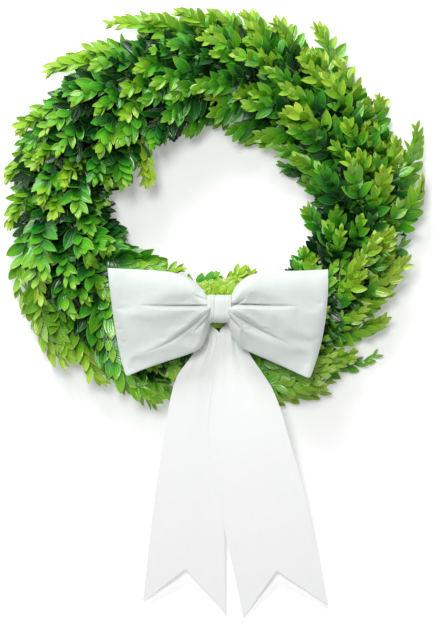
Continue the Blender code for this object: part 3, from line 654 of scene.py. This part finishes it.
def sprigStems(root, psi, reach, lean):
    # a thin tube round each sprig's line, narrower towards the tip
    count, nodes, sides = len(root), stems["nodes"], stems["sides"]
    share = np.linspace(0, 1.0, nodes)[None, :]
    column = [part[:, None] for part in (root, psi, reach, lean)]
    at, angle = sprigLine(*column, share)
    ahead = sprigAhead(column, share)
    side = unit(np.cross(ahead, [0.0, 0.0, 1.0]))
    up = np.cross(side, ahead)
    turn = np.arange(sides) * math.tau / sides
    radius = (stems["radius"] - stems["taper"] * share)[..., None, None] * mm
    circle = np.cos(turn)[:, None] * side[..., None, :] + np.sin(turn)[:, None] * up[..., None, :]
    points = at[..., None, :] + radius * circle
    first = (np.arange(count) * nodes * sides)[:, None, None]
    quads, caps = ((faces[None] + first).reshape(-1, faces.shape[1]) for faces in tubeFaces(nodes, sides))
    oldest, less = stems["age"]
    age = np.broadcast_to((oldest - less * share)[..., None], (count, nodes, sides))
    return points.reshape(-1, 3), age.ravel(), quads, caps


bundle = {
    "stemRidges": 26,
    "ridge": 0.9 * mm,
    "ridgeTwist": 9,
    "ridgesFrom": (-0.55, 0.35),  # height where they start, and how soon they are whole, as a share of the radius
    "saddle": 14.2 * mm,  # radius of the hollow that the canes lie in
    "foldRate": 2.2,
    "archFrom": (0.6, 0.4),
    "sections": 15,
    "around": 78,
    "age": 0.95,
}


def coreSurface(start, end):
    # the bound stems of a bunch: a saddle over the canes with a ridge for each stem
    angle = np.linspace(start, end, bundle["sections"])[:, None]
    turn = np.linspace(0, math.tau, bundle["around"], endpoint=False)[None, :]
    rise, low = np.sin(turn), np.sin(turn) < 0
    ridge = np.abs(np.sin(turn * bundle["stemRidges"] / 2 + angle * bundle["ridgeTwist"]))
    ridge = bundle["ridge"] * ridge * smoothStep(rise, *bundle["ridgesFrom"])
    saddle = bundle["saddle"]
    fold = np.clip(-rise * bundle["foldRate"], 0, 1)  # below, the section turns in and follows the canes
    wide = np.where(low, ring["coreWide"] + (saddle - ring["coreWide"]) * fold, ring["coreWide"] - ridge)
    x = wide * np.cos(turn)
    arch = saddle * np.sqrt(np.clip(1 - (x / saddle) ** 2, 0, 1)) * smoothStep(fold, *bundle["archFrom"])
    z = np.where(low, ring["coreLow"] * np.sin(fold * math.pi) + arch, (ring["coreHigh"] - ridge) * rise)
    points = ringPoint(angle, x, ring["height"] + z).reshape(-1, 3)
    return points, *tubeFaces(bundle["sections"], bundle["around"])


def bunchSprigs(draw, number, start, gap):
    # every sprig of a bunch: root angle, place round the core, reach, lean, leaf size, age and leaf pairs
    made = []
    rows = [(*row, sprigs["nodes"]) for row in sprigs["rows"]]
    rows += [(*row, *sprigs["under"]) for row in sprigs["underRows"]]
    vary = draw.uniform
    for place, (psi, count, reach, size, age, nodes) in enumerate(rows):
        root = start + gap * ((np.arange(count) + (0.5 + sprigs["stagger"] * place) % 1) / count)
        root = root + np.radians(vary(*sprigs["rootVaries"], count))
        turned = np.radians(psi + vary(*sprigs["turnVaries"], count))
        least, more, power = sprigs["reachVaries"]
        reaches = sprigs["reach"] * reach * (least + more * vary(0, 1, count) ** power)
        tip = root + sprigs["lean"] * reaches / ring["radius"]
        extra = bySide("Reach", tip, np.cos(turned)) * mm * reach * (nodes / sprigs["nodes"]) ** 2
        reaches = np.maximum(reaches + extra, sprigs["shortest"])
        ages = age + vary(*sprigs["ageVaries"], count)
        # painted light and shade by side
        ages = ages + bySide("Age", tip, np.clip(np.cos(turned) * sprigs["sideRate"], -1, 1))
        size = size * roundRing(sprigs["leafSize"], tip) * vary(*sprigs["sizeVaries"], count)
        row = (root, turned, reaches, np.full(count, sprigs["lean"]), size, ages)
        for far in (False, True):
            chosen = (reaches > sprigs["longFrom"]) == far
            if chosen.any():
                made.append((*(part[chosen] for part in row), nodes + far * sprigs["moreNodes"]))
    for tip, psi, reach, lean, size, age in sprigs["loose"]:
        root = math.radians(tip) - lean * reach * mm / ring["radius"]
        if (root - ring["firstSeam"]) % math.tau // gap == number:
            values = (root, math.radians(psi), reach * mm, lean, size, age)
            made.append((*(np.array([value]) for value in values), sprigs["looseNodes"]))
    return made


def makeBunch(number):
    draw = np.random.default_rng(sprigs["seed"] + number)
    gap = math.tau / ring["bunches"]
    start = ring["firstSeam"] + gap * number
    rows = bunchSprigs(draw, number, start, gap)
    leaves = (np.concatenate(parts) for parts in zip(*(sprigLeaves(draw, *row) for row in rows)))
    tag = f"{number + 1:02d}"
    settle(addMesh(f"boxwood_leaves_{tag}", leafPlastic, *layLeaves(*leaves)), f"bunch_{tag}")
    points, age, *faces = sprigStems(*(np.concatenate(parts) for parts in list(zip(*rows))[:4]))
    core, *coreFaces = coreSurface(start + ring["seamGap"] / 2, start + gap - ring["seamGap"] / 2)
    faces += [part + len(points) for part in coreFaces]
    age = np.concatenate([age, np.full(len(core), bundle["age"])])
    points = np.concatenate([pressed(points), core])
    settle(addMesh(f"bound_stems_{tag}", stemPlastic, points, faces, marks={"age": age}), f"bunch_{tag}")


for number in range(ring["bunches"]):
    makeBunch(number)
print("foliage made")


# The bow's loops

loops = {
    # edges from the knot to the outer end, in mm from the knot's centre
    "leftTop": ((-8, 9), (-12.1, 13.2), (-17, 19.6), (-28.9, 29.4), (-46.6, 35.4), (-78.2, 38.2), (-110.2, 40.3)),
    "leftLow": ((-8, -9), (-10.5, -20), (-17, -35.7), (-27, -42.8), (-54.5, -51.8), (-78, -60.5), (-92.0, -67.2)),
    "rightTop": ((8, 9), (11.6, 12.7), (16.5, 21.5), (27.3, 31.0), (44, 35.6), (74, 36.8), (107.2, 38.9)),
    "rightLow": ((8, -9), (10.6, -20), (18.5, -34.7), (28, -40.8), (55.9, -53.0), (75, -62.0), (89.6, -69.4)),
    # the outer end's bulge in mm, and where it is greatest, from -1 at the lower corner to 1 at the upper
    "leftEnd": (2.6, -0.35),
    "rightEnd": (5.6, -0.08),
    "endPower": 3,
    # painted light at the upper and the lower edge, which lightens the shading there: share, start from the middle,
    # and width
    "leftPaintedLight": ((0.32, 0.50, 0.50), (0.55, 0.40, 0.55)),
    "rightPaintedLight": ((0.44, 0.50, 0.50), (0.34, 0.20, 0.75)),
    "points": (121, 300),  # along the loop and round it
    "closer": 1.1,  # power that sets them closer at the knot
    "denser": 0.5,  # how much closer they lie across the middle, where the creases are
    "puff": (12.5 * mm, 0.66, 0.7),  # greatest depth, and the powers of its arch along the loop
    "waist": (7.6 * mm, 1.3),  # depth at the knot, and the power that it falls by
    "edge": 0.6 * mm,
    "flatness": 0.95,
    "front": 1 / 2.2,  # the creases are whole where the cloth faces the front by this much
    "backShare": 0.72,
    "lower": (0.42, 1.5, 0.3),  # how much flatter the lower half is at the knot, how soon below, and how far out
    "corner": (0.05, 0.93, 0.07),  # share of its height that the lower corner loses, from where, and how soon
    "gather": (0.7 * mm, 9, 0.10),  # folds at the knot: depth, how many, and how far out
    "seam": (0.12 * mm, 0.972, 0.008),  # the sewn end: depth, place along the loop, and width
    # the padding: every third point goes through the cloth simulation
    "step": 3,
    "frames": 14,
    "holdLevels": 8,
    "farthest": 3.0 * mm,
    # the cloth is a little larger than its shape, which makes it pucker
    "cloth": {
        "quality": 6, "mass": 0.2, "bending_stiffness": 10.0, "use_pressure": True, "uniform_pressure_force": 4.0,
        "shrink_min": -0.006,
    },
    # creases: start and end from the knot's centre, sag at the middle of the line, depth, width above and below
    # the line, share of the depth that the cloth below it keeps, depth of the cut, all in mm, and the share of
    # painted light just below it, where the bulge above shades the cloth
    "leftCreases": (
        ((-10, 3.2), (-80, 3.2), 0.0, 8.5, 28, 2.0, 0.0, 6.0, 0),
        ((-9, -1.5), (-76, -44), -6.0, 2.6, 5.5, 5.0, 0.65, 0.8, 0),
        ((-9, 7.5), (-30, 15), 0.0, 1.4, 4.0, 2.0, 0.0, 0.6, 0),
        ((-9, -7), (-28, -26), 0.0, 1.4, 3.5, 2.5, 0.0, 0.5, 0),
    ),
    "rightCreases": (
        ((14, 4.6), (78, 2.4), 0.2, 8.0, 24, 1.9, 0.0, 6.4, 0.2),
        ((9, 1.2), (27, 9.8), 0.0, 3.4, 6.0, 1.6, 0.0, 3.4, 0),
        ((9, -2.4), (72, -36), -2.0, 3.4, 6.5, 4.0, 0.45, 0.8, 0),
        ((9, -7), (25, -24), 0.0, 1.4, 3.5, 2.5, 0.0, 0.5, 0),
    ),
}

# what all the creases share, as places along their line and as mm across it
crease = {
    "starts": (-0.12, 0.14),
    "ends": (0.30, 0.75),
    "banded": (0.02, 0.16, 0.40),  # shallow where the band holds it: place, width and share
    "lightEnds": (0.60, 0.80),
    "lightWide": (1.2, 14.0),  # above and below
    "stayLow": 30.0,
    "swell": (0.22, 2.4, 1.7, 5.0),  # the cloth below it swells: share, place, width above and below
    "slit": 0.65,
    "hold": (2.5, 1.6),  # width, and how soon it is held in full
}


def loopSheet(top, low, creases, end, edges, hand):
    # turn goes round the loop's section, from the front over the upper edge and back behind to the lower one, and
    # share runs from the knot to the outer end
    along, around = loops["points"]
    share = (np.linspace(0, 1, along) ** loops["closer"])[:, None]
    turn = (np.arange(around) * math.tau / around)[None, :]
    turn = turn - loops["denser"] / 2 * np.sin(2 * turn)
    rise, face = np.sin(turn), np.cos(turn)
    front = smoothStep(face, 0, loops["front"])
    upper, lower = alongCurve(top, share) * mm, alongCurve(low, share) * mm
    most, start, wide = loops["corner"]
    tall = 1 - most * np.clip((share - start) / wide, 0, 1) ** 2 * (rise < 0)
    flat = lower + (upper - lower) * ((rise * tall + 1) / 2)[..., None]
    bulge, peak = end
    away = np.where(rise > peak, (rise - peak) / (1 - peak), (peak - rise) / (1 + peak))
    flat[..., 0] += hand * bulge * mm * (1 - away**2) * share ** loops["endPower"]
    most, power = loops["waist"]
    depth = most * (1 - share) ** power + loops["edge"]
    most, early, power = loops["puff"]
    depth = depth + most * np.sin(math.pi * share**early) ** power
    z = depth * np.sign(face) * np.abs(face) ** loops["flatness"]
    most, soon, wide = loops["lower"]
    z = z * (1 - most * smoothStep(-rise * soon) * np.exp(-share / wide))
    z = np.where(face < 0, z * loops["backShare"], z)
    x, y = flat[..., 0] / mm, flat[..., 1] / mm
    held = thin = np.zeros_like(x)
    for (x0, y0), (x1, y1), sag, deep, above, below, keep, cut, light in creases:
        along = (x - x0) / (x1 - x0)
        line = y0 + (y1 - y0) * along + sag * 4 * along * (1 - along)
        slope = (y1 - y0 + sag * 4 * (1 - 2 * along)) / (x1 - x0)
        off = (y - line) / np.hypot(1, slope)
        begun = smoothStep(along, *crease["starts"])
        place, wide, shallow = crease["banded"]
        fade = begun * (1 - smoothStep(along, *crease["ends"]))
        fade = fade * (shallow + (1 - shallow) * smoothStep(along, place, wide))
        past = off + below
        # painted light just below the crease, where the bulge above shades the cloth
        light = light * begun * (1 - smoothStep(along, *crease["lightEnds"]))
        thin = thin + light * np.exp(-((past / np.where(past > 0, *crease["lightWide"])) ** 2))
        # above the line the cloth bows down to it, and below it the cloth comes up at once, or stays low
        bowed = np.clip(1 - off / above, 0, 1) ** 2
        risen = keep * np.exp(np.minimum(off, 0) / crease["stayLow"]) + (1 - keep) * np.exp(-((off / below) ** 2))
        most, place, *wide = crease["swell"]
        past = off + place * below
        swell = most * (1 - keep) * np.exp(-((past / (below * np.where(past > 0, *wide))) ** 2))
        slit = cut * np.exp(-((off / crease["slit"]) ** 2))
        z = z + ((swell - np.where(off > 0, bowed, risen)) * deep - slit) * mm * fade * front
        wide, soon = crease["hold"]
        held = np.maximum(held, np.exp(-((off / wide) ** 2)) * np.minimum(fade * soon, 1) * front)
    deep, count, wide = loops["gather"]
    gather = np.exp(-share / wide) * np.cos(rise * count + hand) * deep
    deep, place, wide = loops["seam"]
    stitched = deep * np.exp(-(((share - place) / wide) ** 2))
    z = z + gather * front - stitched * np.sign(face)
    points = np.concatenate([flat, z[..., None]], axis=-1) + knotCentre
    # painted light along the upper and the lower edge
    for height, (most, start, wide) in zip((rise, -rise), edges):
        thin = thin + most * smoothStep(height, start, wide)
    return points, flat, held, np.clip(thin, 0, 1)


def closedEnd(along, around):
    # the faces of a loop: its grid, and a strip that joins the front to the back at the outer end
    strip = np.arange(-around // 4, around // 4 + 1)
    front, back = strip % around, (around // 2 - strip) % around
    cap = (along - 1) * around + np.stack([back[:-1], back[1:], front[1:], front[:-1]], axis=-1)
    return np.concatenate([gridFaces(along, around, closed=True), cap])


def stuffed(surface, held, hand):
    # cloth simulation with air in place of the padding, held at the creases, the waist and the seam: its swelling
    # and small puckers are then added to the full grid
    step, levels, farthest = loops["step"], loops["holdLevels"], loops["farthest"]
    coarse, weight = surface[::step, ::step], held[::step, ::step].copy()
    weight[:2] = weight[-1:] = 1
    rows, columns = coarse.shape[:2]
    piece = addMesh("padding", paintedShadeDoubledCloth, coarse, [closedEnd(rows, columns)[:, ::hand]])
    group = piece.vertex_groups.new(name="held")
    level = np.round(np.clip(weight.ravel(), 0, 1) * levels)
    for value in range(1, levels + 1):
        group.add(np.flatnonzero(level == value).tolist(), value / levels, "REPLACE")
    padding = piece.modifiers.new("padding", "CLOTH")
    for name, value in loops["cloth"].items():
        setattr(padding.settings, name, value)
    padding.settings.vertex_group_mass = "held"
    padding.settings.effector_weights.gravity = 0
    for moment in range(loops["frames"]):
        scene.frame_set(moment + 1)
    shaped = piece.evaluated_get(bpy.context.evaluated_depsgraph_get()).data
    moved = np.zeros(rows * columns * 3, np.float32)
    shaped.vertices.foreach_get("co", moved)
    moved = moved.reshape(rows, columns, 3) - coarse
    bpy.data.meshes.remove(piece.data)  # the piece goes with it
    scene.frame_set(1)
    length = np.linalg.norm(moved, axis=-1, keepdims=True)
    moved = moved * (farthest * np.tanh(length / farthest) / np.maximum(length, 1e-9))
    # back to the full grid: along it first, then round it with its first columns repeated
    along, around = surface.shape[:2]
    moved = alongCurve(moved, np.linspace(0, 1, along))
    wrapped = np.concatenate([moved, moved[:, :1]], axis=1).swapaxes(0, 1)
    return surface + alongCurve(wrapped, np.arange(around) / around).swapaxes(0, 1)


def makeLoops():
    along, around = loops["points"]
    faces = closedEnd(along, around)
    parts = []
    for number, (side, hand) in enumerate((("left", -1), ("right", 1))):
        shape = (loops[f"{side}{part}"] for part in ("Top", "Low", "Creases", "End", "PaintedLight"))
        surface, spread, held, thin = loopSheet(*shape, hand)
        surface = stuffed(surface, held, hand).reshape(-1, 3)
        parts.append((surface, spread.reshape(-1, 2), thin.ravel(), faces[:, ::hand] + number * len(surface)))
    points, uv, thin, quads = (np.concatenate(part) for part in zip(*parts))
    waist = gridFaces(2, around, closed=True)  # it joins the two first rings inside the knot
    waist[:, 2:] += (along - 1) * around
    # the loops' cloth is painted grey, painted shade, and the painted light mark lightens it at the edges and below
    # the creases
    piece = addMesh("bow_loops_cloth", paintedShadeDoubledCloth, points, [quads, waist], uv, {"thin": thin})
    settle(piece, "bow_loops")


makeLoops()
print("loops made")


# The knot

knot = {
    "wide": (knotHigh - knotLow)[0] * 0.99,
    "tall": (knotHigh - knotLow)[1] / 2 - 0.8 * mm,
    "deep": (knotHigh - knotLow)[2] / 2,
    "square": 0.55,
    "wall": 1.1 * mm,
    "lip": (1.0 * mm, 6),  # the cut edges are turned in: how far, and a power that keeps that near them
    "dip": 0.5 * mm,
    "wander": 0.7 * mm,
    # folds that run round the band: place across it, depth and width in mm
    "folds": ((-7.6, 0.7, 0.7), (-5.2, 0.9, 0.8), (-2.6, 0.35, 1.2), (6.0, 0.45, 1.3), (9.4, 0.5, 0.6)),
    "columns": 70,
    "around": 96,
}


def squared(value):
    return np.sign(value) * np.abs(value) ** knot["square"]


def makeKnot():
    # a band round the waist: a rounded square carried along its width, with folds that run round it
    x = np.linspace(-0.5, 0.5, knot["columns"])[:, None] * knot["wide"]
    turn = np.linspace(0, math.tau, knot["around"], endpoint=False)[None, :]
    fold = 0
    for place, deep, wide in knot["folds"]:
        wander = place * mm + knot["wander"] * np.sin(turn + place)
        fold = fold + deep * mm * np.exp(-(((x - wander) / (wide * mm)) ** 2))
    outward = np.abs(x / (knot["wide"] / 2))
    lip, power = knot["lip"]
    inset = fold + lip * outward**power + knot["dip"] * (1 - outward**2)
    y = (knot["tall"] - inset) * squared(np.cos(turn))
    z = (knot["deep"] - inset) * squared(np.sin(turn))
    points = np.stack(np.broadcast_arrays(x, y, z), axis=-1) + knotCentre
    uv = np.stack(np.broadcast_arrays(x, turn * knot["tall"]), axis=-1)
    faces = gridFaces(knot["columns"], knot["around"], closed=True)
    # the knot's cloth is its copy painted a little grey: painted shade
    piece = addMesh("bow_knot_band", paintedShadeBandedCloth, points, [faces[:, ::-1]], uv)
    wall = piece.modifiers.new("wall", "SOLIDIFY")
    wall.thickness = knot["wall"]
    wall.offset = -1
    settle(piece, "bow_knot")


makeKnot()
print("knot made")


# The tails

tails = {
    # edges from the knot to the tips, in mm from the knot's centre
    "leftOuter": ((-22, -3), (-23, -17), (-25, -42), (-44, -72), (-55, -125), (-66, -196), (-77.6, -296.5)),
    "leftInner": ((-7, -3), (-10.6, -14.5), (0.6, -26.5), (-4.3, -62), (-11, -125), (3, -196), (6.6, -308.5)),
    "rightOuter": ((23, -4), (25, -17), (29, -42), (54, -82), (70, -130), (89, -200), (109.8, -299.8)),
    "rightInner": ((7, -4), (6.4, -15), (-1, -27), (-9, -85), (-14, -128), (-2, -186), (24.3, -313.5)),
    "rootHeight": 63 * mm,
    "rootShare": 0.14,
    "notch": 0.070,
    "notchPower": 8,  # keeps the notch near the tips
    "leftNotch": (-34, -262),
    "rightNotch": (57.8, -264),
    "lap": 1.4 * mm,
    "edgeLap": 0.45 * mm,  # the left tail's inner edge lies almost on the right tail
    # where each starts to change along the tail or across it, and over what width
    "lapEnds": (0.74, 0.26),
    "edgeFrom": (0.55, 0.45),
    "foldsStart": (0.0, 0.12),
    "foldsEnd": (0.10, 0.52),
    "cloth": 0.12 * mm,
    "lowest": 0.168 * mm,
    "rows": 140,
    "spans": 72,
    # soft folds: place across the tail, height in mm, and width as a share of the tail's
    "leftFolds": ((0.26, 2.4, 0.08), (0.60, 2.8, 0.08), (0.84, 1.8, 0.05)),
    "rightFolds": ((0.20, 1.8, 0.08), (0.42, -3.0, 0.08), (0.60, 2.2, 0.08), (0.82, 1.4, 0.06)),
    "flat": (0.087, 0.322),
}


def makeTail(side, lap):
    # between its two edges, with soft folds that fan out from the knot and die away before the tips
    share = np.linspace(0, 1, tails["rows"])[:, None]
    across = np.linspace(0, 1, tails["spans"] + 1)[None, :]
    end = 1 - tails["notch"] * (1 - np.abs(2 * across - 1))
    place = share * end
    outer = alongCurve(tails[f"{side}Outer"], place) * mm
    inner = alongCurve(tails[f"{side}Inner"], place) * mm
    flat = outer + (inner - outer) * across[..., None]
    tips, notch = flat[-1, [0, -1]].copy(), np.array(tails[f"{side}Notch"]) * mm
    cut = np.where(across[0, :, None] < 0.5, tips[0], tips[1])
    cut = notch + (cut - notch) * np.abs(2 * across[0, :, None] - 1)  # both sides of the notch are straight
    flat = flat + (cut - flat[-1]) * share[..., None] ** tails["notchPower"]
    root = 1 - smoothStep(place, 0, tails["rootShare"])
    lift = lap * (1 - smoothStep(place, *tails["lapEnds"]))
    lift = lift + (np.minimum(tails["edgeLap"], lap) - lift) * smoothStep(across, *tails["edgeFrom"]) * (lap > 0)
    height = tailHeight(flat[..., 1]) + lift
    height = height + (tails["rootHeight"] - height) * root
    ridge = sum(high * mm * np.exp(-(((across - at) / wide) ** 2)) for at, high, wide in tails[f"{side}Folds"])
    height = height + ridge * smoothStep(place, *tails["foldsStart"]) * (1 - smoothStep(place, *tails["foldsEnd"]))
    height = np.maximum(height, tails["lowest"])
    points = np.concatenate([flat, height[..., None]], axis=-1) + [*knotCentre[:2], 0]
    uv = np.stack(np.broadcast_arrays(across * tails["flat"][0], place * tails["flat"][1]), axis=-1)
    faces = gridFaces(tails["rows"], tails["spans"] + 1)[:, ::-1 if side == "left" else 1]
    cutEdge = np.zeros(flat.shape[:2], bool)
    cutEdge[[0, -1]] = cutEdge[:, [0, -1]] = True
    piece = addMesh(f"bow_tail_{side}_cloth", singleCloth, points, [faces], uv, sharp=cutEdge)
    wall = piece.modifiers.new("wall", "SOLIDIFY")
    wall.thickness = tails["cloth"]
    wall.offset = -1
    settle(piece, f"bow_tail_{side}")


makeTail("left", tails["lap"])
makeTail("right", 0.0)
print("tails made")


# The solids that stay: canes, tape and wire

for name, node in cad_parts.items():
    for start, kept in (("cane", caneBark), ("tape", stemTape), ("bow_wire", wirePaper)):
        if name.startswith(start):
            node.data.materials.clear()
            node.data.materials.append(kept)
print("canes, tape and wire dressed")


# Floor, light and camera

studio = {
    "floor": "#F3F3F3",
    "floorRoughness": 0.9,
    "floorSize": 6.0,
    "floorLow": 0.2 * mm,
    "glow": 0.23,  # the sweep is lit a little from behind, so shadows stay light
    "world": 0.32,
    # soft boxes: watts, side in metres and place. The key hangs high, a little to the top left, and the second
    # one stands low beyond the top, so that it brings out the folds.
    "boxes": ((29.0, 0.60, (-0.30, 0.56, 2.33)), (45.0, 1.00, (-0.60, 1.92, 1.34))),
    "camera": (7.5 * mm, -118.0 * mm, 2.640),  # from the ring's centre
    "lens": 146.25,
}


def makeStudio():
    half = studio["floorSize"] / 2
    corners = half * np.array([(-1, -1, 0), (1, -1, 0), (1, 1, 0), (-1, 1, 0)]) - [0, 0, studio["floorLow"]]
    paper, surface, _ = startMaterial("white_paper_sweep")
    setInputs(surface, {
        "Base Color": toLinear(studio["floor"]), "Roughness": studio["floorRoughness"], "Specular IOR Level": 0.0,
        "Emission Color": (1, 1, 1, 1), "Emission Strength": studio["glow"]})
    addMesh("floor", paper, corners, [np.array([[0, 1, 2, 3]])])
    world = bpy.data.worlds.new("studio")
    world.use_nodes = True
    scene.world = world
    setInputs(world.node_tree.nodes["Background"], {"Color": toLinear("#FFFFFF"), "Strength": studio["world"]})
    for number, (power, side, (x, y, z)) in enumerate(studio["boxes"], 1):
        lamp = bpy.data.lights.new(f"softbox_{number}", "AREA")
        lamp.energy, lamp.size = power, side
        box = bpy.data.objects.new(f"softbox_{number}", lamp)
        box.location = x, y, z
        box.rotation_euler = math.atan2(math.hypot(x, y), z), 0, math.atan2(x, -y)  # it faces the wreath
        scene.collection.objects.link(box)
    lens = bpy.data.cameras.new("camera")
    lens.lens = studio["lens"]
    camera = bpy.data.objects.new("camera", lens)
    camera.location = np.array(studio["camera"]) + [*ringCentre, 0]
    scene.collection.objects.link(camera)
    scene.camera = camera
    scene.view_settings.view_transform = "Standard"


makeStudio()
print("studio made")
